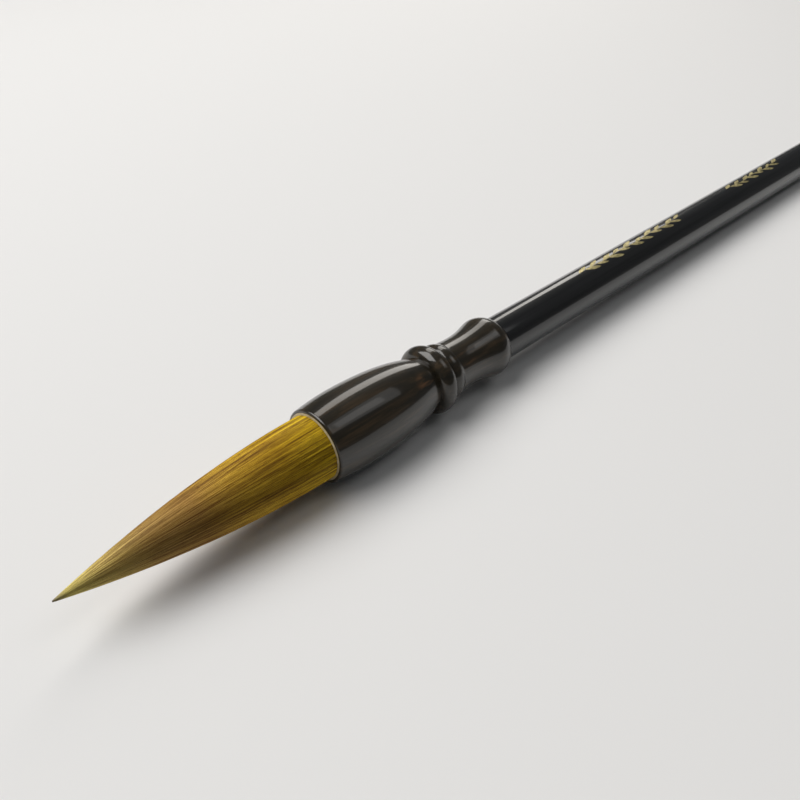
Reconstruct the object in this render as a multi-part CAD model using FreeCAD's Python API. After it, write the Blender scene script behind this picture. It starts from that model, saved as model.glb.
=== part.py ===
import FreeCAD, Part
import math
import os

from FreeCAD import Vector

# Calligraphy brush: a tuft of three hair layers, set and tied in a turned wooden ferrule on a round shaft.
# Millimetres. The axis of the brush is X: the point of the hair is towards -X and the tail towards +X.
# The origin is on the axis at the waist of the ferrule, where a brush rest holds the brush. +Z is up.

# Tuft. Its outline is one curve from the point to the mouth of the ferrule.
tuft_length = 51.0            # hair in front of the ferrule
tuft_radius = 6.45            # at the mouth
tuft_fullness = 1.93          # exponent of the outline: 1 is a straight cone, 2 a parabola
point_radius = 0.12           # the last few hairs
root_depth = 14.0             # hair inside the cup
mantle_thickness = 1.1        # outer layer
lining_thickness = 1.5        # stiff middle layer
lining_length = 28.0          # how far the middle layer reaches in front of the mouth
lining_taper = 10.0           # length over which the middle layer thins out
lining_edge = 0.12            # its thickness at its front edge
layer_gap = 0.05              # between two hair layers

# Thread round the hair roots
thread_diameter = 0.4
thread_turns = 6
binding_from_root = 1.2       # from the root end of the hair to the last turn

# Glue and rosin
root_seal_thickness = 1.0
glue_depth = 1.2
mouth_chamfer = 0.4           # filled by the bead of glue round the hair
meniscus = 0.15               # how far that bead stands in front of the mouth

# Ferrule. Places along it are counted from the mouth unless their name says otherwise.
hair_clearance = 0.05         # hair to the wall of the cup, and to the glue, rosin and thread
cup_cone = 1.4                # depth of the cone that the drill leaves at the bottom of the cup
lip_flat = 0.1                # face of the mouth, between the bead of glue and the rounded edge
lip_round = 0.5
belly_swell = 0.65            # belly above the lip
belly_from_mouth = 9.0
neck_radius = 5.75
neck_from_mouth = 28.2
neck_slope = 0.25             # fall per length where the barrel ends
groove_width = 0.15            # flat on each side of the bead
bead_radius = 7.4
bead_width = 4.2
ring_radius = 6.25
ring_width = 2.6
ring_foot_radius = 5.8
waist_radius = 5.55
ring_to_waist = 4.7
waist_to_bell = 7.6
bell_flare = 1.65              # widest place of the bell above the shaft
bell_tail = 3.4               # from that place to the rear edge
bell_edge = 0.05              # how far that edge stands above the shaft

# Handles of the ferrule's free curves, as shares of the stretch that each curve crosses
belly_fullness = 0.59
neck_fullness = 0.19
waist_fullness = 0.57
bell_fullness = 0.18

# Shaft
shaft_radius = 5.0
grip_length = 168.0           # shaft between the ferrule and the tail piece
spigot_radius = 3.6
spigot_length = 20.0
spigot_clearance = 0.05       # glue line round each spigot
spigot_end_gap = 0.5          # between the end of a spigot and the bottom of its socket
spigot_chamfer = 0.5

# Tail piece
finial_length = 15.0
tail_collar_width = 1.8
collar_step = 1.6             # length over which the collar curves down to the neck
tail_neck_radius = 3.3
tail_ball_relief = 0.4        # ball below the shaft, so that a sleeve slides on over it
tail_spigot_radius = 2.5
tail_spigot_length = 9.0
cord_hole_radius = 1.1

# Gold leaf sprigs let into the top of the shaft
inlay_depth = 0.25
inlay_recess = 0.02           # gold below the surface of the shaft
leaf_length = 5.2
leaf_width = 1.25
leaf_pitch = 2.4
leaf_angle = 17.0             # degrees from the stem
stem_width = 0.3
stem_wave = 0.28
stem_wave_length = 14.0
front_sprig_from_bell = 30.0
front_sprig_length = 50.0
rear_sprig_from_bell = 102.0
rear_sprig_length = 36.0

# Places along X that follow from these
mouth_x = -(neck_from_mouth + 2 * groove_width + bead_width + ring_width + ring_to_waist)
bell_end_x = waist_to_bell + bell_tail
shaft_end_x = bell_end_x + grip_length
tail_x = shaft_end_x + finial_length
point_x = mouth_x - tuft_length
root_x = mouth_x + root_depth
lining_x = mouth_x - lining_length
seal_x = root_x + hair_clearance
glue_x = seal_x + root_seal_thickness
cup_end_x = glue_x + glue_depth

# Radii that follow
cup_radius = tuft_radius + hair_clearance
lip_radius = cup_radius + mouth_chamfer + lip_flat + lip_round
belly_radius = lip_radius + belly_swell
bell_radius = shaft_radius + bell_flare
tail_ball_radius = shaft_radius - tail_ball_relief

AXIS = Vector(1, 0, 0)
ORIGIN = Vector(0, 0, 0)


def at(x, radius):
    """A point of an outline: x along the brush, radius away from its axis."""
    return Vector(x, 0, radius)


def line(a, b):
    return Part.LineSegment(a, b).toShape()


def lines(points):
    return [line(a, b) for a, b in zip(points, points[1:])]


def arc(a, middle, b):
    return Part.Arc(a, middle, b).toShape()


def spline(points):
    """A smooth curve through the points."""
    curve = Part.BSplineCurve()
    curve.interpolate(Points=points)
    return curve.toShape()


def bezier(points):
    """A cubic curve: its two ends, and a handle at each that gives its direction there."""
    curve = Part.BezierCurve()
    curve.setPoles(points)
    return curve.toShape()


def arc_level_at(top, foot):
    """An arc that is parallel to the axis at top and ends at foot."""
    along = foot.x - top.x
    drop = top.z - foot.z
    radius = (along * along + drop * drop) / (2 * drop)
    half_turn = math.atan2(drop, abs(along))
    step = math.copysign(radius * math.sin(half_turn), along)
    middle = at(top.x + step, top.z - radius * (1 - math.cos(half_turn)))
    return arc(top, middle, foot)


def turned(edges):
    """The solid that a closed outline sweeps round the axis."""
    wire = Part.Wire(Part.__sortEdges__(edges))
    return Part.Face(wire).revolve(ORIGIN, AXIS, 360)


def steps(start, stop, count):
    return [start + (stop - start) * i / count for i in range(count + 1)]


def smooth(share):
    """Rises from 0 to 1, level at both ends."""
    share = min(max(share, 0.0), 1.0)
    return share * share * (3 - 2 * share)


def tuft_outline(x):
    """Radius of the hair at x. Inside the cup it is a plain column."""
    share = min(max((x - point_x) / tuft_length, 0.0), 1.0)
    return point_radius + (tuft_radius - point_radius) * (1 - (1 - share) ** tuft_fullness)


def tuft_outline_x(radius):
    """Where the hair has this radius."""
    share = (radius - point_radius) / (tuft_radius - point_radius)
    return point_x + tuft_length * (1 - (1 - share) ** (1 / tuft_fullness))


def under_mantle(x):
    return tuft_outline(x) - mantle_thickness - layer_gap


def lining_radial(x):
    """Thickness of the lining at x."""
    full = smooth((x - lining_x) / lining_taper)
    return lining_edge + (lining_thickness - lining_edge) * full


def core_outline(x):
    if x < lining_x:
        return under_mantle(x)
    return under_mantle(x) - lining_radial(x) - layer_gap


def through(outline, start, stop, count):
    return spline([at(x, outline(x)) for x in steps(start, stop, count)])


def mantle_hair():
    """Outer layer. The thread pulls it in near its root."""
    bore = tuft_radius - mantle_thickness
    cavity_x = tuft_outline_x(mantle_thickness + 2 * point_radius)
    cavity_radius = tuft_outline(cavity_x) - mantle_thickness
    waist_start = root_x - binding_from_root - thread_turns * thread_diameter - thread_diameter
    waist_stop = root_x - binding_from_root + thread_diameter
    tied_radius = cup_radius - thread_diameter - 2 * hair_clearance
    outer = [line(at(point_x, 0), at(point_x, point_radius))]
    outer.append(through(tuft_outline, point_x, mouth_x, 8))
    outer += lines([
        at(mouth_x, tuft_radius),
        at(waist_start - thread_diameter, tuft_radius),
        at(waist_start, tied_radius),
        at(waist_stop, tied_radius),
        at(waist_stop + thread_diameter / 2, tied_radius + thread_diameter / 2),
        at(root_x, tied_radius + thread_diameter / 2),
        at(root_x, bore),
        at(mouth_x, bore),
    ])
    inner = through(lambda x: tuft_outline(x) - mantle_thickness, mouth_x, cavity_x, 8)
    closing = lines([at(cavity_x, cavity_radius), at(cavity_x, 0), at(point_x, 0)])
    return turned(outer + [inner] + closing)


def lining_hair():
    """Middle layer: shorter than the others, with a thinned front edge."""
    outside = tuft_radius - mantle_thickness - layer_gap
    inside = outside - lining_thickness
    edges = [through(under_mantle, lining_x, mouth_x, 6)]
    edges += lines([at(mouth_x, outside), at(root_x, outside), at(root_x, inside), at(mouth_x, inside)])
    edges.append(through(lambda x: under_mantle(x) - lining_radial(x), mouth_x, lining_x, 8))
    front = under_mantle(lining_x)
    edges.append(line(at(lining_x, front - lining_edge), at(lining_x, front)))
    return turned(edges)


def core_hair():
    """Core column. In front of the lining it fills the mantle."""
    front_x = tuft_outline_x(mantle_thickness + 2 * point_radius) + 2 * layer_gap
    root_radius = core_outline(root_x)
    step_x = lining_x - layer_gap
    edges = [line(at(front_x, 0), at(front_x, under_mantle(front_x)))]
    edges.append(through(under_mantle, front_x, step_x, 6))
    edges.append(line(at(step_x, under_mantle(step_x)), at(step_x, core_outline(lining_x))))
    edges.append(line(at(step_x, core_outline(lining_x)), at(lining_x, core_outline(lining_x))))
    edges.append(through(core_outline, lining_x, mouth_x, 8))
    edges += lines([at(mouth_x, root_radius), at(root_x, root_radius), at(root_x, 0), at(front_x, 0)])
    return turned(edges)


def root_binding():
    """Turns of thread laid side by side round the hair roots, joined by the wax they are laid in."""
    radius = thread_diameter / 2
    outside = cup_radius - hair_clearance
    inside = outside - thread_diameter
    last_x = root_x - binding_from_root
    first_x = last_x - thread_turns * thread_diameter
    edges = [line(at(first_x, inside), at(first_x, outside - radius))]
    for turn in range(thread_turns):
        start = at(first_x + turn * thread_diameter, outside - radius)
        stop = at(start.x + thread_diameter, start.z)
        edges.append(arc(start, at(start.x + radius, outside), stop))
    edges.append(line(at(last_x, outside - radius), at(last_x, inside)))
    edges.append(line(at(last_x, inside), at(first_x, inside)))
    return turned(edges)


def root_seal():
    """Rosin disc on the cut ends of the hair."""
    corners = [at(seal_x, 0), at(seal_x, cup_radius), at(glue_x, cup_radius), at(glue_x, 0), at(seal_x, 0)]
    return turned(lines(corners))


def glue_bed():
    """Glue that fills the bottom of the cup, down into the cone of the drill."""
    corners = [
        at(glue_x, 0),
        at(glue_x, cup_radius),
        at(cup_end_x, cup_radius),
        at(cup_end_x + cup_cone, 0),
        at(glue_x, 0),
    ]
    return turned(lines(corners))


def mouth_seal():
    """Bead of dried glue round the hair, in the chamfer of the mouth."""
    inside = tuft_radius + hair_clearance / 2
    front = mouth_x - meniscus
    back = mouth_x + mouth_chamfer
    rim = cup_radius + mouth_chamfer
    edges = lines([at(mouth_x, rim), at(back, cup_radius), at(back, inside), at(front, inside)])
    edges.append(arc(at(front, inside), at(front + meniscus / 4, (inside + rim) / 2), at(mouth_x, rim)))
    return turned(edges)


def ferrule():
    """One turned piece: cup barrel, bead, ring, waist and bell, with the socket for the shaft."""
    belly = at(mouth_x + belly_from_mouth, belly_radius)
    neck = at(mouth_x + neck_from_mouth, neck_radius)
    bead_start = at(neck.x + groove_width, neck_radius)
    bead_top = at(bead_start.x + bead_width / 2, bead_radius)
    bead_stop = at(bead_start.x + bead_width, neck_radius)
    ring_start = at(bead_stop.x + groove_width, ring_foot_radius)
    ring_top = at(ring_start.x + ring_width / 2, ring_radius)
    ring_stop = at(ring_start.x + ring_width, ring_foot_radius)
    bell = at(waist_to_bell, bell_radius)
    bell_end = at(bell_end_x, shaft_radius + bell_edge)
    lip = at(mouth_x + lip_round, lip_radius)
    lip_start = at(mouth_x, lip_radius - lip_round)
    turn = lip_round * math.sqrt(0.5)
    lip_middle = at(lip.x - turn, lip_start.z + turn)
    rim = at(mouth_x, cup_radius + mouth_chamfer)
    socket_radius = spigot_radius + spigot_clearance
    socket_x = bell_end_x - spigot_length - spigot_end_gap

    outside = [line(rim, lip_start), arc(lip_start, lip_middle, lip), arc_level_at(belly, lip)]
    barrel_rear = neck.x - belly.x
    belly_hand = at(belly.x + belly_fullness * barrel_rear, belly_radius)
    neck_reach = neck_fullness * barrel_rear
    neck_hand = at(neck.x - neck_reach, neck_radius + neck_slope * neck_reach)
    outside.append(bezier([belly, belly_hand, neck_hand, neck]))
    outside += [line(neck, bead_start), arc(bead_start, bead_top, bead_stop), line(bead_stop, ring_start)]
    outside.append(arc(ring_start, ring_top, ring_stop))
    outside.append(arc_level_at(at(0, waist_radius), ring_stop))
    waist_hand = at(waist_fullness * bell.x, waist_radius)
    bell_hand = at(bell.x - bell_fullness * bell.x, bell_radius)
    outside.append(bezier([at(0, waist_radius), waist_hand, bell_hand, bell]))
    outside.append(arc_level_at(bell, bell_end))
    inside = lines([
        bell_end,
        at(bell_end_x, socket_radius),
        at(socket_x, socket_radius),
        at(socket_x, 0),
        at(cup_end_x + cup_cone, 0),
        at(cup_end_x, cup_radius),
        at(mouth_x + mouth_chamfer, cup_radius),
        rim,
    ])
    return turned(outside + inside)


def shaft_blank():
    """Shaft with its front spigot and the socket for the tail piece, before engraving."""
    front = bell_end_x - spigot_length
    socket_radius = tail_spigot_radius + spigot_clearance
    socket_x = shaft_end_x - tail_spigot_length - spigot_end_gap
    return turned(lines([
        at(front, 0),
        at(front, spigot_radius - spigot_chamfer),
        at(front + spigot_chamfer, spigot_radius),
        at(bell_end_x, spigot_radius),
        at(bell_end_x, shaft_radius),
        at(shaft_end_x, shaft_radius),
        at(shaft_end_x, socket_radius),
        at(socket_x, socket_radius),
        at(socket_x, 0),
        at(front, 0),
    ]))


def finial():
    """Tail piece: collar flush with the shaft, neck, and a ball with a cross hole for a hanging cord."""
    ball_x = tail_x - tail_ball_radius
    neck_angle = math.asin(tail_neck_radius / tail_ball_radius)
    ball_start = at(ball_x - tail_ball_radius * math.cos(neck_angle), tail_neck_radius)
    collar_end = at(shaft_end_x + tail_collar_width, shaft_radius)
    collar_foot = at(collar_end.x + collar_step, tail_neck_radius)
    spigot_start = shaft_end_x - tail_spigot_length
    edges = lines([
        at(spigot_start, 0),
        at(spigot_start, tail_spigot_radius - spigot_chamfer),
        at(spigot_start + spigot_chamfer, tail_spigot_radius),
        at(shaft_end_x, tail_spigot_radius),
        at(shaft_end_x, shaft_radius),
        collar_end,
    ])
    edges.append(arc_level_at(collar_foot, collar_end))
    edges.append(line(collar_foot, ball_start))
    edges.append(arc(ball_start, at(ball_x, tail_ball_radius), at(tail_x, 0)))
    edges.append(line(at(tail_x, 0), at(spigot_start, 0)))
    drill = Part.makeCylinder(
        cord_hole_radius, 4 * tail_ball_radius, Vector(ball_x, -2 * tail_ball_radius, 0), Vector(0, 1, 0)
    )
    return turned(edges).cut(drill)


def stem_line(x):
    """A point of the wavy centre line of a stem, seen from above."""
    return Vector(x, stem_wave * math.sin(2 * math.pi * x / stem_wave_length), 0)


def stem(start, length):
    """Outline of a stem, seen from above: it tapers to both ends."""
    centre = [stem_line(x) for x in steps(start, start + length, 12)]
    half = [stem_width / 2 * math.sin(math.pi * share) for share in steps(0, 1, 12)]
    upper = [point + Vector(0, offset, 0) for point, offset in zip(centre, half)]
    lower = [point - Vector(0, offset, 0) for point, offset in zip(centre, half)]
    return Part.Face(Part.Wire([spline(upper), spline(lower[::-1])]))


def leaf(x, side, size):
    """Outline of one leaf, seen from above. It grows from the stem at x, towards the tail, to one side."""
    angle = math.radians(leaf_angle) * side
    along = Vector(math.cos(angle), math.sin(angle), 0)
    across = Vector(-math.sin(angle), math.cos(angle), 0)
    base = stem_line(x)
    tip = base + along * leaf_length * size
    middle = (base + tip) * 0.5
    half = across * leaf_width / 2 * size
    edges = [Part.Arc(base, middle + half, tip).toShape(), Part.Arc(tip, middle - half, base).toShape()]
    return Part.Face(Part.Wire(edges))


def sprig(from_bell, length, inner, outer):
    """A stem with leaves to each side in turn, on the top of the shaft between two radii."""
    start = bell_end_x + from_bell
    bore = Part.makeCylinder(inner, length, Vector(start, 0, 0), AXIS)
    layer = Part.makeCylinder(outer, length, Vector(start, 0, 0), AXIS).cut(bore)
    margin = leaf_pitch / 2
    outlines = [stem(start + margin / 2, length - margin)]
    for number in range(int((length - leaf_length - margin) / leaf_pitch) + 1):
        side = 1 - 2 * (number % 2)
        size = 0.86 + 0.14 * math.sin(1.7 * number)
        outlines.append(leaf(start + margin + number * leaf_pitch, side, size))
    height = Vector(0, 0, 2 * shaft_radius)
    prisms = [outline.extrude(height) for outline in outlines]
    return prisms[0].fuse(prisms[1:]).removeSplitter().common(layer)


def gold_inlay(from_bell, length):
    return sprig(from_bell, length, shaft_radius - inlay_depth, shaft_radius - inlay_recess)


def engraving(from_bell, length):
    return sprig(from_bell, length, shaft_radius - inlay_depth, shaft_radius + inlay_depth)


def handle_shaft():
    blank = shaft_blank()
    front = engraving(front_sprig_from_bell, front_sprig_length)
    rear = engraving(rear_sprig_from_bell, rear_sprig_length)
    return blank.cut(front).cut(rear)


NODES = {
    "mantle_hair": mantle_hair(),
    "lining_hair": lining_hair(),
    "core_hair": core_hair(),
    "root_binding": root_binding(),
    "root_seal": root_seal(),
    "glue_bed": glue_bed(),
    "mouth_seal": mouth_seal(),
    "ferrule": ferrule(),
    "handle_shaft": handle_shaft(),
    "gold_inlay_front": gold_inlay(front_sprig_from_bell, front_sprig_length),
    "gold_inlay_rear": gold_inlay(rear_sprig_from_bell, rear_sprig_length),
    "finial": finial(),
}

os.makedirs("parts", exist_ok=True)
for name, shape in NODES.items():
    shape.exportStep("parts/" + name + ".step")
    print(name, "solids", len(shape.Solids), "valid", shape.isValid(), "volume", round(shape.Volume, 2))
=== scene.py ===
import math

import bmesh
import bpy
import numpy as np
from mathutils import Matrix, Quaternion, Vector, geometry

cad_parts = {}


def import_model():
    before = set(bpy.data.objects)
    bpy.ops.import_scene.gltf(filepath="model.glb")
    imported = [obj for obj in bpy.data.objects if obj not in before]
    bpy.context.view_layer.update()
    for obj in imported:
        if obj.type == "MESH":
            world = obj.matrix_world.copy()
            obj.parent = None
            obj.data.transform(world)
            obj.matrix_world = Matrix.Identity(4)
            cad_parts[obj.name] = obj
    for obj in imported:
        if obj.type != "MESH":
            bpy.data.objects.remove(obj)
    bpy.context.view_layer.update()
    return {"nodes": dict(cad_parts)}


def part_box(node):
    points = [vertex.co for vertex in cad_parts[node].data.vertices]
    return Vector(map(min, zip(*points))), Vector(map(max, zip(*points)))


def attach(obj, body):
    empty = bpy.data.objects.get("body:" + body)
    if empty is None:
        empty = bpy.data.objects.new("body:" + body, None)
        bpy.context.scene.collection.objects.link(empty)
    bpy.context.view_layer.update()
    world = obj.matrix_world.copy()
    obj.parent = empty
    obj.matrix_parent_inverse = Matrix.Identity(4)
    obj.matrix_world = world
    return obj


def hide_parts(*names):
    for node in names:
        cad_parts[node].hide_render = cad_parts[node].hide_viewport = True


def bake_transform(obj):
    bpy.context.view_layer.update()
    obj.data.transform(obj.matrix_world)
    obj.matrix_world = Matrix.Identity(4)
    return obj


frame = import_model()

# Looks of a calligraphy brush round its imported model. The brush lies along X with the point of its hair
# towards -X, and the waist of its ferrule at X = 0. Lengths are in metres, and MM turns small sizes into
# metres.
MM = 0.001
TURN = 2 * math.pi
ON_AXIS = 1e-9
rng = np.random.default_rng(7)

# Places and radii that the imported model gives
mouth_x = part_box("ferrule")[0].x
bell_end_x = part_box("ferrule")[1].x
belly_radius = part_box("ferrule")[1].z
point_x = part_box("mantle_hair")[0].x
root_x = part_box("mantle_hair")[1].x
tuft_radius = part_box("mantle_hair")[1].z
lining_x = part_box("lining_hair")[0].x
core_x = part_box("core_hair")[0].x
shaft_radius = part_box("handle_shaft")[1].z
tail_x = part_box("finial")[1].x
tuft_length = mouth_x - point_x

# Shape of the ferrule, along it from the mouth
lip_round = 0.5 * MM
mouth_chamfer = 0.4 * MM
cup_clearance = 0.05 * MM
cup_radius = tuft_radius + cup_clearance
cup_end_x = mouth_x + 16.25 * MM
cup_cone = 1.4 * MM
lip_radius = belly_radius - 0.65 * MM
belly_x = mouth_x + 9.0 * MM
neck_x = mouth_x + 28.2 * MM
neck_radius = 5.75 * MM
neck_slope = 0.25
groove_width = 0.15 * MM
bead_width = 4.2 * MM
bead_radius = 7.4 * MM
ring_width = 2.6 * MM
ring_radius = 6.25 * MM
ring_foot_radius = 5.8 * MM
waist_radius = 5.55 * MM
bell_x = 7.6 * MM
bell_radius = shaft_radius + 1.65 * MM
shaft_clearance = 0.05 * MM
socket_radius = 3.65 * MM
socket_x = bell_end_x - 20.5 * MM
belly_fullness, neck_fullness = 0.59, 0.19
waist_fullness, bell_fullness = 0.57, 0.18

# Shape of the tuft and of its layers
tuft_fullness = 1.93
point_radius = 0.12 * MM
mantle_thickness = 1.1 * MM
lining_thickness = 1.5 * MM
lining_taper = 10 * MM
lining_edge = 0.12 * MM
layer_gap = 0.05 * MM
thread_diameter = 0.4 * MM
thread_turns = 6
binding_from_root = 1.2 * MM
binding_clearance = 0.05 * MM

# How finely the round pieces are divided
mantle_around = 400
ferrule_around = 256
glue_around = 200
inner_around = 96


# Outlines: lists of (x, radius)

def line(a, b, count=1):
    return [(a[0] + (b[0] - a[0]) * i / count, a[1] + (b[1] - a[1]) * i / count) for i in range(count + 1)]


def bezier(a, b, c, d, count):
    points = geometry.interpolate_bezier(*[Vector((*p, 0)) for p in (a, b, c, d)], count + 1)
    return [(p.x, p.y) for p in points]


def arc_level_at(top, foot, count):
    """An arc that is level at top and ends at foot."""
    along = foot[0] - top[0]
    drop = top[1] - foot[1]
    radius = (along * along + drop * drop) / (2 * drop)
    turn = 2 * math.atan2(drop, abs(along))
    side = math.copysign(1, along)
    angles = [turn * i / count for i in range(count + 1)]
    return [(top[0] + side * radius * math.sin(a), top[1] - radius * (1 - math.cos(a))) for a in angles]


def joined(*stretches):
    """One outline from stretches that follow each other."""
    outline = list(stretches[0])
    for stretch in stretches[1:]:
        outline += stretch[1:]
    return outline


def ferrule_outline():
    lip_start = (mouth_x, lip_radius - lip_round)
    lip = (mouth_x + lip_round, lip_radius)
    belly = (belly_x, belly_radius)
    neck = (neck_x, neck_radius)
    rear = neck_x - belly_x
    belly_hand = (belly_x + belly_fullness * rear, belly_radius)
    neck_hand = (neck_x - neck_fullness * rear, neck_radius + neck_slope * neck_fullness * rear)
    bead_start = (neck_x + groove_width, neck_radius)
    bead_top = (bead_start[0] + bead_width / 2, bead_radius)
    bead_stop = (bead_start[0] + bead_width, neck_radius)
    ring_start = (bead_stop[0] + groove_width, ring_foot_radius)
    ring_top = (ring_start[0] + ring_width / 2, ring_radius)
    ring_stop = (ring_start[0] + ring_width, ring_foot_radius)
    waist = (0, waist_radius)
    waist_hand = (waist_fullness * bell_x, waist_radius)
    bell_hand = ((1 - bell_fullness) * bell_x, bell_radius)
    bell = (bell_x, bell_radius)
    bell_end = (bell_end_x, shaft_radius + shaft_clearance)
    return joined(
        line((cup_end_x + cup_cone, 0), (cup_end_x, cup_radius), 6),
        line((cup_end_x, cup_radius), (mouth_x + mouth_chamfer, cup_radius), 12),
        line((mouth_x + mouth_chamfer, cup_radius), (mouth_x, cup_radius + mouth_chamfer), 3),
        line((mouth_x, cup_radius + mouth_chamfer), lip_start),
        [(lip[0] - lip_round * math.cos(a), lip_start[1] + lip_round * math.sin(a))
         for a in np.linspace(0, math.pi / 2, 9)],
        arc_level_at(belly, lip, 24)[::-1],
        bezier(belly, belly_hand, neck_hand, neck, 60),
        line(neck, bead_start),
        arc_level_at(bead_top, bead_start, 20)[::-1],
        arc_level_at(bead_top, bead_stop, 20),
        line(bead_stop, ring_start),
        arc_level_at(ring_top, ring_start, 8)[::-1],
        arc_level_at(ring_top, ring_stop, 8),
        arc_level_at(waist, ring_stop, 12)[::-1],
        bezier(waist, waist_hand, bell_hand, bell, 36),
        arc_level_at(bell, bell_end, 20),
        line(bell_end, (bell_end_x, socket_radius), 3),
        line((bell_end_x, socket_radius), (socket_x, socket_radius), 12),
        line((socket_x, socket_radius), (socket_x, 0), 4),
    )


def lathe(name, outline, around, closed=False, swell=None):
    """Turns an outline round X. A point on the axis becomes one vertex. swell gives new radii for it."""
    angles = np.linspace(0, TURN, around, endpoint=False)
    verts = []
    rows = []
    for x, r in outline:
        if r < ON_AXIS:
            rows.append([len(verts)])
            verts.append((x, 0, 0))
            continue
        radii = swell(angles, x, r) if swell else np.full(around, r)
        rows.append(list(range(len(verts), len(verts) + around)))
        verts += zip(np.full(around, x), radii * np.sin(angles), radii * np.cos(angles))
    faces = []
    following = rows[1:] + rows[:1] if closed else rows[1:]
    for low, high in zip(rows, following):
        for i in range(around):
            j = (i + 1) % around
            corners = [low[i % len(low)], low[j % len(low)], high[j % len(high)], high[i % len(high)]]
            unique = list(dict.fromkeys(corners))
            if len(unique) > 2:
                faces.append(unique)
    return mesh_piece(name, verts, faces)


def mesh_piece(name, verts, faces):
    """A piece shaded smooth, but for its sharp edges, with its faces turned outwards."""
    mesh = bpy.data.meshes.new(name)
    mesh.from_pydata([tuple(map(float, v)) for v in verts], [], faces)
    work = bmesh.new()
    work.from_mesh(mesh)
    bmesh.ops.recalc_face_normals(work, faces=work.faces)
    work.to_mesh(mesh)
    work.free()
    mesh.polygons.foreach_set("use_smooth", [True] * len(mesh.polygons))
    mesh.set_sharp_from_angle(angle=math.radians(38))
    piece = bpy.data.objects.new(name, mesh)
    bpy.context.scene.collection.objects.link(piece)
    return piece


# Materials

def material(name):
    made = bpy.data.materials.new(name)
    made.use_nodes = True
    return made, made.node_tree.nodes, made.node_tree.links


def node(nodes, kind, **values):
    made = nodes.new(kind)
    for key, value in values.items():
        setattr(made, key, value)
    return made


def ramp(nodes, stops):
    made = nodes.new("ShaderNodeValToRGB")
    elements = made.color_ramp.elements
    while len(elements) < len(stops):
        elements.new(0.5)
    for element, (place, colour) in zip(elements, stops):
        element.position = place
        element.color = (*colour, 1)
    return made


def stretched_noise(nodes, links, scale, size, detail=4.0, rough=0.55):
    """Noise in the object's own space. A smaller scale along an axis draws it out along that axis."""
    coords = nodes.new("ShaderNodeTexCoord")
    mapping = nodes.new("ShaderNodeMapping")
    mapping.inputs["Scale"].default_value = scale
    noise = nodes.new("ShaderNodeTexNoise")
    noise.inputs["Scale"].default_value = size
    noise.inputs["Detail"].default_value = detail
    noise.inputs["Roughness"].default_value = rough
    links.new(coords.outputs["Object"], mapping.inputs["Vector"])
    links.new(mapping.outputs["Vector"], noise.inputs["Vector"])
    return noise


def bump(nodes, links, height, shader, strength, distance):
    made = nodes.new("ShaderNodeBump")
    made.inputs["Strength"].default_value = strength
    made.inputs["Distance"].default_value = distance
    links.new(height, made.inputs["Height"])
    links.new(made.outputs["Normal"], shader.inputs["Normal"])


def mixed(nodes, links, factor, a, b, blend="MIX"):
    """Mixes colour a with b. Each of the three is a socket or a constant."""
    made = node(nodes, "ShaderNodeMix", data_type="RGBA", blend_type=blend)
    for socket, value in ((made.inputs[0], factor), (made.inputs[6], a), (made.inputs[7], b)):
        if isinstance(value, bpy.types.NodeSocket):
            links.new(value, socket)
        elif isinstance(value, (int, float)):
            socket.default_value = value
        else:
            socket.default_value = (*value, 1)
    return made.outputs[2]


def spot(nodes, links, centre, size):
    """1 at a place on the object, falling to 0 at the given half sizes."""
    coords = nodes.new("ShaderNodeTexCoord")
    mapping = nodes.new("ShaderNodeMapping")
    mapping.inputs["Location"].default_value = [-c / s for c, s in zip(centre, size)]
    mapping.inputs["Scale"].default_value = [1 / s for s in size]
    length = node(nodes, "ShaderNodeVectorMath", operation="LENGTH")
    fade = nodes.new("ShaderNodeMapRange")
    fade.interpolation_type = "SMOOTHSTEP"
    fade.inputs["From Min"].default_value = 1.0
    fade.inputs["From Max"].default_value = 0.0
    links.new(coords.outputs["Object"], mapping.inputs["Vector"])
    links.new(mapping.outputs["Vector"], length.inputs[0])
    links.new(length.outputs["Value"], fade.inputs["Value"])
    return fade.outputs["Result"]


def multiply(nodes, links, a, b):
    """a times b, each a socket or a constant."""
    made = node(nodes, "ShaderNodeMath", operation="MULTIPLY")
    for socket, value in zip(made.inputs, (a, b)):
        if isinstance(value, (int, float)):
            socket.default_value = value
        else:
            links.new(value, socket)
    return made.outputs[0]


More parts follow.
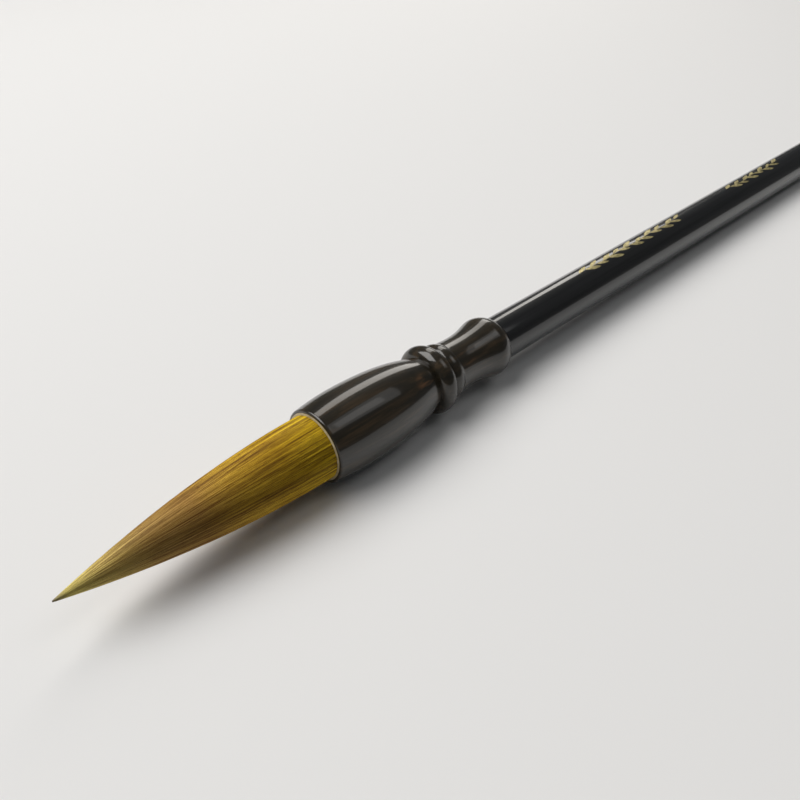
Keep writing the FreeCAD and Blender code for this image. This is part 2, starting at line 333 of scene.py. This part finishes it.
def ferrule_wood():
    """Near-black polished wood with two patches of warm brown figure, behind the barrel and at the waist."""
    made, nodes, links = material("ferrule_wood")
    shader = nodes["Principled BSDF"]
    grain = stretched_noise(nodes, links, (45, 700, 700), 1.0, 5.0, 0.6)
    colour = ramp(nodes, [
        (0.30, (0.0075, 0.0066, 0.0042)),
        (0.52, (0.0190, 0.0145, 0.0080)),
        (0.72, (0.055, 0.0350, 0.0175)),
    ])
    links.new(grain.outputs["Fac"], colour.inputs["Fac"])
    figure = stretched_noise(nodes, links, (60, 600, 600), 1.0, 2.0, 0.5)
    sharp = ramp(nodes, [(0.42, (0, 0, 0)), (0.62, (1, 1, 1))])
    links.new(figure.outputs["Fac"], sharp.inputs["Fac"])
    base = colour.outputs["Color"]
    facing = Vector((0, -0.69, 0.72))
    for x, radius, reach, strength in ((-15.4, 6.2, 3.8, 0.9), (-2.0, 5.6, 3.2, 0.8)):
        centre = Vector((x * MM, 0, 0)) + facing * radius * MM
        here = spot(nodes, links, centre, (reach * MM, 2.2 * MM, 2.2 * MM))
        figured = multiply(nodes, links, here, sharp.outputs["Color"])
        amount = multiply(nodes, links, figured, strength)
        base = mixed(nodes, links, amount, base, (0.34, 0.155, 0.065))
    links.new(base, shader.inputs["Base Color"])
    shader.inputs["Roughness"].default_value = 0.4
    shader.inputs["Specular IOR Level"].default_value = 0.15
    shader.inputs["Coat Weight"].default_value = 1.0
    shader.inputs["Coat Roughness"].default_value = 0.08
    bump(nodes, links, grain.outputs["Fac"], shader, 0.12, 0.00015)
    return made


def shaft_wood():
    """Black polished wood with fine lengthwise grain."""
    made, nodes, links = material("shaft_wood")
    shader = nodes["Principled BSDF"]
    grain = stretched_noise(nodes, links, (25, 900, 900), 1.0, 5.0, 0.6)
    colour = ramp(nodes, [(0.3, (0.0050, 0.0055, 0.0062)), (0.7, (0.0135, 0.0140, 0.0150))])
    links.new(grain.outputs["Fac"], colour.inputs["Fac"])
    links.new(colour.outputs["Color"], shader.inputs["Base Color"])
    shader.inputs["Roughness"].default_value = 0.4
    shader.inputs["Specular IOR Level"].default_value = 0.1
    shader.inputs["Coat Weight"].default_value = 1.0
    shader.inputs["Coat Roughness"].default_value = 0.08
    bump(nodes, links, grain.outputs["Fac"], shader, 0.08, 0.0001)
    return made


def gold():
    """Dull gold, worn in patches."""
    made, nodes, links = material("gold_filling")
    shader = nodes["Principled BSDF"]
    patches = stretched_noise(nodes, links, (900, 1400, 1400), 1.0, 4.0, 0.6)
    colour = ramp(nodes, [(0.3, (0.16, 0.13, 0.055)), (0.55, (0.50, 0.43, 0.20)), (0.75, (0.66, 0.60, 0.34))])
    links.new(patches.outputs["Fac"], colour.inputs["Fac"])
    links.new(colour.outputs["Color"], shader.inputs["Base Color"])
    shader.inputs["Metallic"].default_value = 0.6
    shader.inputs["Roughness"].default_value = 0.45
    bump(nodes, links, patches.outputs["Fac"], shader, 0.4, 0.00005)
    return made


def dried_glue():
    made, nodes, links = material("dried_glue")
    shader = nodes["Principled BSDF"]
    cloud = stretched_noise(nodes, links, (1, 1, 1), 900.0, 3.0, 0.5)
    colour = ramp(nodes, [(0.3, (0.34, 0.27, 0.15)), (0.7, (0.56, 0.49, 0.33))])
    links.new(cloud.outputs["Fac"], colour.inputs["Fac"])
    links.new(colour.outputs["Color"], shader.inputs["Base Color"])
    shader.inputs["Roughness"].default_value = 0.3
    bump(nodes, links, cloud.outputs["Fac"], shader, 0.3, 0.00005)
    return made


def waxed_thread():
    made, nodes, links = material("waxed_thread")
    shader = nodes["Principled BSDF"]
    twist = stretched_noise(nodes, links, (3, 1, 1), 2500.0, 2.0, 0.5)
    colour = ramp(nodes, [(0.35, (0.42, 0.37, 0.27)), (0.65, (0.62, 0.57, 0.46))])
    links.new(twist.outputs["Fac"], colour.inputs["Fac"])
    links.new(colour.outputs["Color"], shader.inputs["Base Color"])
    shader.inputs["Roughness"].default_value = 0.55
    bump(nodes, links, twist.outputs["Fac"], shader, 0.5, 0.00005)
    return made


def hair(name, stops, dark):
    """Hair coloured by the attributes that its pieces carry: along is 0 at the point, 1 at the mouth."""
    made, nodes, links = material(name)
    shader = nodes["Principled BSDF"]
    along = node(nodes, "ShaderNodeAttribute", attribute_name="along")
    streak = node(nodes, "ShaderNodeAttribute", attribute_name="streak")
    tone = node(nodes, "ShaderNodeAttribute", attribute_name="tone")
    around = node(nodes, "ShaderNodeAttribute", attribute_name="around")
    mapping = nodes.new("ShaderNodeMapping")
    mapping.inputs["Scale"].default_value = (8, 8, 1.5)
    fine = nodes.new("ShaderNodeTexNoise")
    fine.inputs["Scale"].default_value = 2.0
    fine.inputs["Detail"].default_value = 6.0
    fine.inputs["Roughness"].default_value = 0.7
    wander = nodes.new("ShaderNodeTexNoise")
    wander.inputs["Scale"].default_value = 3.0
    wander.inputs["Detail"].default_value = 2.0
    shifted = mixed(nodes, links, 0.10, around.outputs["Vector"], wander.outputs["Color"], "ADD")
    links.new(around.outputs["Vector"], wander.inputs["Vector"])
    links.new(shifted, mapping.inputs["Vector"])
    links.new(mapping.outputs["Vector"], fine.inputs["Vector"])
    colour = ramp(nodes, stops)
    links.new(along.outputs["Fac"], colour.inputs["Fac"])
    # Tone multiplier. On the strands it is a random tone per hair. On the mantle it follows the locks, so it
    # is painted shade in the hollows between locks and a painted paler highlight on their ridges.
    tone_and_painted_shade = ramp(nodes, [(0.1, (0.50, 0.42, 0.34)), (0.5, (1, 1, 1)), (0.9, (1.4, 1.5, 1.8))])
    links.new(tone.outputs["Fac"], tone_and_painted_shade.inputs["Fac"])
    grain = ramp(nodes, [(0.37, (0.30, 0.21, 0.15)), (0.50, (0.95, 0.93, 0.88)), (0.62, (1.45, 1.52, 1.70))])
    links.new(fine.outputs["Fac"], grain.inputs["Fac"])
    toned = mixed(nodes, links, 1.0, colour.outputs["Color"], tone_and_painted_shade.outputs["Color"], "MULTIPLY")
    grained = mixed(nodes, links, 0.9, toned, grain.outputs["Color"], "MULTIPLY")
    links.new(mixed(nodes, links, streak.outputs["Fac"], grained, dark), shader.inputs["Base Color"])
    shader.inputs["Roughness"].default_value = 0.48
    shader.inputs["Specular IOR Level"].default_value = 0.15
    bump(nodes, links, fine.outputs["Fac"], shader, 0.35, 0.00004)
    return made


# Tuft

def tuft_outline(x):
    """Radius of the tuft: full at the mouth, and rounding down to the point."""
    share = np.clip((x - point_x) / tuft_length, 0, 1)
    return point_radius + (tuft_radius - point_radius) * (1 - (1 - share) ** tuft_fullness)


def under_mantle(x):
    return tuft_outline(x) - mantle_thickness - layer_gap


def lining_radial(x):
    share = np.clip((x - lining_x) / lining_taper, 0, 1)
    return lining_edge + (lining_thickness - lining_edge) * share * share * (3 - 2 * share)


def core_outline(x):
    return under_mantle(x) - np.where(x < lining_x, 0, lining_radial(x) + layer_gap)


# Waves that add up to the locks the hair lies in: how many go round the tuft, their phase, how fast they turn
# along it, and how often and from where they come and go.
LOCKS = [(int(count), rng.uniform(0, TURN), rng.normal(0, 14), rng.uniform(40, 170), rng.uniform(0, TURN))
         for count in rng.integers(16, 150, 72)]

# Darker streaks: where round the tuft and how wide, both as angles, where they start and how long they are as
# shares of its length from the point, how strong they are, and how fast they turn along it.
STREAKS = [(rng.uniform(0, TURN), abs(rng.normal(0.012, 0.022)) + 0.008, rng.uniform(-0.1, 0.95),
            rng.uniform(0.12, 0.55), rng.uniform(0.25, 1.0), rng.normal(0, 5)) for _ in range(150)]


def locks(angle, x):
    """About -1 to 1: they run lengthwise, wander a little and come and go."""
    total = 0.0
    for count, phase, drift, pace, start in LOCKS:
        strength = (30 / (count + 20)) * (0.65 + 0.35 * np.sin(pace * x + start))
        total = total + strength * np.sin(count * angle + phase + drift * x)
    return total / 2.4


def streaks(angle, x):
    """0 to 1, where the streaks are."""
    share = (x - point_x) / tuft_length
    total = 0.0
    for where, wide, start, length, strength, drift in STREAKS:
        off = (angle - where - drift * (x - mouth_x) + math.pi) % TURN - math.pi
        across = np.exp(-(off / wide) ** 2)
        run = np.clip((share - start) / length, 0, 1)
        total = total + strength * across * np.sin(math.pi * run) ** 0.7
    return np.clip(total, 0, 1)


def lock_depth(angle, x):
    """How far the surface of the tuft lies below its outline, as a share of the radius there."""
    inside = np.clip((mouth_x + 1.5 * MM - x) / (3 * MM), 0, 1)
    return inside * (0.014 * (1 - locks(angle, x)) / 2 + 0.008 * streaks(angle, x))


def hair_swell(angle, x, r):
    """Locks in the outside of the mantle. Its hollow stays round."""
    if r > tuft_outline(x) - 0.5 * mantle_thickness:
        return r * (1 - lock_depth(angle, x))
    return np.full(len(angle), r)


def carry(piece, streak, tone):
    """Gives a hair piece the attributes that its material reads."""
    co = coordinates(piece)
    angle = np.arctan2(co[:, 1], co[:, 2])
    along = np.clip((co[:, 0] - point_x) / tuft_length, 0, 1.3)
    for name, values in (("along", along), ("streak", streak), ("tone", tone)):
        layer = piece.data.attributes.new(name, "FLOAT", "POINT")
        layer.data.foreach_set("value", np.broadcast_to(np.asarray(values, np.float32), along.shape).copy())
    around = np.stack([np.sin(angle), np.cos(angle), along], 1)
    layer = piece.data.attributes.new("around", "FLOAT_VECTOR", "POINT")
    layer.data.foreach_set("vector", around.astype(np.float32).ravel())


def coordinates(piece):
    flat = np.zeros(len(piece.data.vertices) * 3)
    piece.data.vertices.foreach_get("co", flat)
    return flat.reshape(-1, 3)


def through(radius_at, start, stop, count):
    """An outline whose radius a function gives."""
    return [(float(x), float(radius_at(x))) for x in np.linspace(start, stop, count + 1)]


def mantle():
    """Outer layer: outside, root end, then back along its hollow. The thread pulls its root in."""
    bore = tuft_radius - mantle_thickness
    tied = cup_radius - thread_diameter - 0.1 * MM
    tied_start = root_x - binding_from_root - (thread_turns + 1) * thread_diameter
    tied_stop = root_x - binding_from_root + thread_diameter
    foot = tied + thread_diameter / 2
    solid_front = (mantle_thickness + point_radius) / (tuft_radius - point_radius)
    hollow_x = point_x + tuft_length * (1 - (1 - solid_front) ** (1 / tuft_fullness))
    closer_to_point = point_x + tuft_length * np.linspace(0, 1, 200) ** 1.15
    front = [(float(x), float(tuft_outline(x))) for x in closer_to_point]
    outline = joined(
        [(point_x, 0), front[0]],
        front,
        line(front[-1], (tied_start - thread_diameter, tuft_radius), 4),
        line((tied_start - thread_diameter, tuft_radius), (tied_start, tied)),
        line((tied_start, tied), (tied_stop, tied)),
        line((tied_stop, tied), (tied_stop + thread_diameter / 2, foot)),
        line((tied_stop + thread_diameter / 2, foot), (root_x, foot)),
        line((root_x, foot), (root_x, bore)),
        line((root_x, bore), (mouth_x, bore)),
        through(lambda x: tuft_outline(x) - mantle_thickness, mouth_x, hollow_x, 20),
        line((hollow_x, float(tuft_outline(hollow_x)) - mantle_thickness), (hollow_x, 0)),
    )
    piece = lathe("mantle_hair_locks", outline, mantle_around, swell=hair_swell)
    co = coordinates(piece)
    angle = np.arctan2(co[:, 1], co[:, 2])
    # Tone rises with lock height: painted shade in the lock hollows and a painted highlight on the lock
    # ridges.
    carry(piece, streaks(angle, co[:, 0]), 0.5 + 0.35 * locks(angle, co[:, 0]))
    return piece


def lining():
    """Middle layer, a tube that thins towards its front."""
    outside = tuft_radius - mantle_thickness - layer_gap
    inside = outside - lining_thickness
    outline = joined(
        through(under_mantle, lining_x, mouth_x, 24),
        line((mouth_x, outside), (root_x, outside)),
        line((root_x, outside), (root_x, inside)),
        line((root_x, inside), (mouth_x, inside)),
        through(lambda x: under_mantle(x) - lining_radial(x), mouth_x, lining_x, 24),
    )
    piece = lathe("lining_hair_layer", outline, inner_around, closed=True)
    carry(piece, 0, 0.4)
    return piece


def core():
    """Inner layer, solid, with a step where the lining begins round it."""
    root_radius = float(core_outline(mouth_x))
    step_x = lining_x - layer_gap
    step_outside = float(under_mantle(step_x))
    step_inside = float(core_outline(lining_x))
    outline = joined(
        [(core_x, 0), (core_x, float(under_mantle(core_x)))],
        through(under_mantle, core_x, step_x, 24),
        line((step_x, step_outside), (step_x, step_inside)),
        line((step_x, step_inside), (lining_x, step_inside)),
        through(core_outline, lining_x, mouth_x, 24),
        line((mouth_x, root_radius), (root_x, root_radius)),
        line((root_x, root_radius), (root_x, 0)),
    )
    piece = lathe("core_hair_column", outline, inner_around)
    carry(piece, 0, 0.6)
    return piece


def strands(name, count, seed, thickness, lift):
    """Single hairs that lie on the locks. Some start past the mouth, and some stop short of the point."""
    own = np.random.default_rng(seed)
    steps, sides = 15, 3
    angle = own.uniform(0, TURN, count)
    late = own.random(count) < 0.35
    start = mouth_x + 0.8 * MM - tuft_length * own.uniform(0, 0.55, count) * late
    reach = np.where(own.random(count) < 0.7, np.abs(own.normal(0, 0.10, count)), own.uniform(0, 0.6, count))
    stop = np.minimum(point_x + tuft_length * (reach + 0.006), start - 0.12 * tuft_length)
    bend, wave, beat = own.normal(0, 0.05, count), own.normal(0, 0.012, count), own.uniform(0, 9, count)
    tone = np.clip(own.normal(0.5, 0.26, count), 0, 1)
    dark = (own.random(count) < 0.10) * own.uniform(0.4, 1.0, count)
    share = np.linspace(0, 1, steps + 1)[None, :]
    x = start[:, None] + (stop - start)[:, None] * share
    turn = angle[:, None] + bend[:, None] * share ** 2 + wave[:, None] * np.sin(5 * share + beat[:, None])
    thinning = 1 - 0.75 * share
    fine_start = 0.3 + 0.7 * np.minimum(1, 12 * share + 0.2)
    half = thickness / 2 * thinning * fine_start
    height = tuft_outline(x) * (1 - lock_depth(turn, x)) + half * lift
    slope = -np.gradient(tuft_outline(x), axis=1) / np.gradient(x, axis=1)
    sin, cos = np.sin(turn), np.cos(turn)
    verts, normals = [], []
    for side in range(sides):
        a = TURN * side / sides + math.pi / 2
        out, over = height + half * math.sin(a), half * math.cos(a)
        verts.append(np.stack([x, out * sin + over * cos, out * cos - over * sin], -1))
        tilt = 0.7 * math.cos(a)
        normals.append(np.stack([slope, sin + tilt * cos, cos - tilt * sin], -1))
    verts = np.stack(verts, 2).reshape(-1, 3)
    normals = np.stack(normals, 2).reshape(-1, 3)
    normals /= np.linalg.norm(normals, axis=1)[:, None]
    rows = np.arange(count * (steps + 1) * sides).reshape(count, steps + 1, sides)
    low, high = rows[:, :-1], rows[:, 1:]
    walls = np.stack([low, np.roll(low, -1, 2), np.roll(high, -1, 2), high], -1).reshape(-1, 4)
    caps = np.concatenate([rows[:, 0, ::-1], rows[:, -1]])
    piece = mesh_piece(name, verts, walls.tolist() + caps.tolist())
    piece.data.normals_split_custom_set_from_vertices(normals.tolist())
    carry(piece, np.repeat(dark, (steps + 1) * sides), np.repeat(tone, (steps + 1) * sides))
    return piece


def bend_with_tuft(piece):
    """Bakes the piece's placement into its mesh; the hair is not bent."""
    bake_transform(piece)


# Thread and glue

def thread():
    """Turns of thread round the hair roots, as one helix whose ends are tucked in."""
    clear_of_next_turn = 0.97
    radius = thread_diameter / 2 * clear_of_next_turn
    ring = cup_radius - binding_clearance - thread_diameter / 2
    last_x = root_x - binding_from_root - thread_diameter / 2
    around, sides = 48, 8
    total = (thread_turns - 1) * around
    verts, faces = [], []
    for step in range(total + 1):
        turn = TURN * step / around
        centre_x = last_x - thread_diameter * step / around
        ease = min(1.0, (min(step, total - step) + 1) / 8)
        for side in range(sides):
            a = TURN * side / sides
            out = ring - (1 - ease) * 0.04 * MM + radius * ease * math.sin(a)
            verts.append((centre_x + radius * ease * math.cos(a), out * math.sin(turn), out * math.cos(turn)))
    for step in range(total):
        for side in range(sides):
            a, b = step * sides + side, step * sides + (side + 1) % sides
            faces.append((a, b, b + sides, a + sides))
    faces.append(tuple(range(sides)))
    faces.append(tuple(total * sides + side for side in reversed(range(sides))))
    return mesh_piece("root_binding_thread", verts, faces)


def mouth_glue():
    """Thin bead of glue whose front edge is a little uneven."""
    off_wood = 0.01 * MM
    inside = tuft_radius + 0.02 * MM
    rim = cup_radius + mouth_chamfer - off_wood
    back = mouth_x + mouth_chamfer
    front = mouth_x - 0.12 * MM
    crown = (front + 0.03 * MM, (inside + rim) / 2)
    outline = joined(
        line((mouth_x, rim), (back, cup_radius - off_wood), 2),
        line((back, cup_radius - off_wood), (back, inside)),
        line((back, inside), (front, inside), 2),
        line((front, inside), crown, 2),
        line(crown, (mouth_x, rim), 2),
    )
    piece = lathe("mouth_glue_bead", outline, glue_around, closed=True)
    co = coordinates(piece)
    angle = np.arctan2(co[:, 1], co[:, 2])
    uneven = sum(np.sin(k * angle + 2.1 * k) / math.sqrt(k) for k in (3, 7, 11, 19, 31)) / 1.6
    co[:, 0] += np.where(co[:, 0] < mouth_x - 0.02 * MM, 0.045 * MM * uneven, 0)
    piece.data.vertices.foreach_set("co", co.ravel())
    return piece


def assign(piece, made):
    piece.data.materials.clear()
    piece.data.materials.append(made)


# Build

golden = hair("hair_golden", [
    (0.0, (0.10, 0.08, 0.055)),
    (0.015, (0.42, 0.36, 0.16)),
    (0.05, (0.74, 0.62, 0.17)),
    (0.16, (0.60, 0.44, 0.12)),
    (0.32, (0.39, 0.235, 0.060)),
    (0.48, (0.34, 0.185, 0.038)),
    (0.65, (0.50, 0.295, 0.026)),
    (0.81, (0.45, 0.260, 0.012)),
    (1.0, (0.58, 0.375, 0.012)),
], (0.10, 0.030, 0.008))
plain = hair("hair_plain", [(0.0, (0.40, 0.27, 0.12)), (1.0, (0.34, 0.22, 0.10))], (0.1, 0.06, 0.03))
mantle_piece = mantle()
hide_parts("mantle_hair")
golden_pieces = [mantle_piece]
for number, (count, thickness, lift) in enumerate([(1600, 0.13 * MM, 0.1), (1500, 0.09 * MM, 0.8)]):
    golden_pieces.append(strands(f"mantle_strands_{number + 1}", count, 20 + number, thickness, lift))
for piece in golden_pieces:
    assign(piece, golden)
    bend_with_tuft(piece)
for made, name in ((lining, "lining_hair"), (core, "core_hair")):
    piece = made()
    assign(piece, plain)
    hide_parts(name)
    bend_with_tuft(piece)

wood = ferrule_wood()
ferrule = lathe("ferrule_turned", ferrule_outline(), ferrule_around)
assign(ferrule, wood)
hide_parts("ferrule")
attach(ferrule, "handle")

black = shaft_wood()
assign(frame["nodes"]["handle_shaft"], black)
assign(frame["nodes"]["finial"], black)
gilt = gold()
for name in ("gold_inlay_front", "gold_inlay_rear"):
    assign(frame["nodes"][name], gilt)
glue = dried_glue()
for name in ("root_seal", "glue_bed"):
    assign(frame["nodes"][name], glue)
for made, name, slot, look in (
    (mouth_glue, "mouth_seal", "glue", glue),
    (thread, "root_binding", "thread", waxed_thread()),
):
    piece = made()
    assign(piece, look)
    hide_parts(name)
    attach(piece, "handle")


# Stage, light and camera

lit_point = Vector((-20 * MM, 0, 0))


def softbox(name, direction, distance, along, long_side, short_side, radiance, colour=(1, 1, 1)):
    """A lit panel that faces the brush, with its long side in a given direction."""
    light = bpy.data.lights.new(name, "AREA")
    light.shape = "RECTANGLE"
    light.size, light.size_y = long_side, short_side
    light.energy = radiance * math.pi * long_side * short_side
    light.color = colour
    box = bpy.data.objects.new(name, light)
    back = Vector(direction).normalized()
    side = (Vector(along) - back * back.dot(Vector(along))).normalized()
    turn = Matrix((side, back.cross(side), back)).transposed()
    box.matrix_world = Matrix.Translation(lit_point + back * distance) @ turn.to_4x4()
    bpy.context.scene.collection.objects.link(box)


def stage():
    """A pale floor, sloped a little so that it meets the brush at its belly and near its tail."""
    half = 3.0
    rest_z = -belly_radius
    tail_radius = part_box("finial")[1].z - 0.4 * MM
    tail_ball_x = tail_x - tail_radius
    slope = (belly_radius - tail_radius) / (tail_ball_x - belly_x)
    places = ((-half, -half), (half, -half), (half, half), (-half, half))
    floor = mesh_piece("floor", [(x, y, rest_z + slope * (x - belly_x)) for x, y in places], [(0, 1, 2, 3)])
    made, nodes, _ = material("floor")
    shader = nodes["Principled BSDF"]
    shader.inputs["Base Color"].default_value = (0.80, 0.80, 0.80, 1)
    shader.inputs["Roughness"].default_value = 0.9
    shader.inputs["Specular IOR Level"].default_value = 0.1
    assign(floor, made)


def camera():
    """Looks down on the hair and the ferrule from close by, so the shaft runs away from it."""
    lens = bpy.data.cameras.new("camera")
    lens.sensor_width = 36
    lens.lens = 38.25
    lens.clip_start = 0.01
    holder = bpy.data.objects.new("camera", lens)
    elevation = math.radians(36.1)
    level = math.cos(elevation)
    forward = Vector((0.712 * level, 0.702 * level, -math.sin(elevation))).normalized()
    right = forward.cross(Vector((0, 0, 1))).normalized()
    up = right.cross(forward)
    aim_shift = 0.61 * MM * (0.51 * right - 0.86 * up)
    target = Vector((-18.1 * MM, 0, 0)) + aim_shift
    distance = 168 * MM
    roll = 0.003
    holder.location = target - forward * distance
    turn = forward.to_track_quat("-Z", "Y") @ Quaternion((0, 0, 1), roll)
    holder.rotation_euler = turn.to_euler()
    bpy.context.scene.collection.objects.link(holder)
    bpy.context.scene.camera = holder


def world():
    made = bpy.data.worlds.new("studio")
    made.use_nodes = True
    background = made.node_tree.nodes["Background"]
    background.inputs["Color"].default_value = (0.95, 0.98, 1.0, 1)
    background.inputs["Strength"].default_value = 0.07
    bpy.context.scene.world = made


stage()
camera()
world()
panel_facing, panel_along = (0.445, -0.383, 0.824), (0.81, 0.324, -0.482)
softbox("window", (0.575, 0.526, 0.625), 0.8, (0.726, 0.023, -0.687), 0.75, 0.22, 3.3, (1.0, 0.96, 0.90))
softbox("front_panel", panel_facing, 0.9, panel_along, 0.62, 0.42, 0.6)
softbox("front_panel_core", panel_facing, 0.88, panel_along, 0.36, 0.22, 0.7)
softbox("back_panel", (-0.42, 0.40, 0.81), 1.3, (0, 0, 1), 1.1, 1.1, 4.6, (1.0, 0.985, 0.965))
bpy.context.scene.view_settings.view_transform = "Standard"
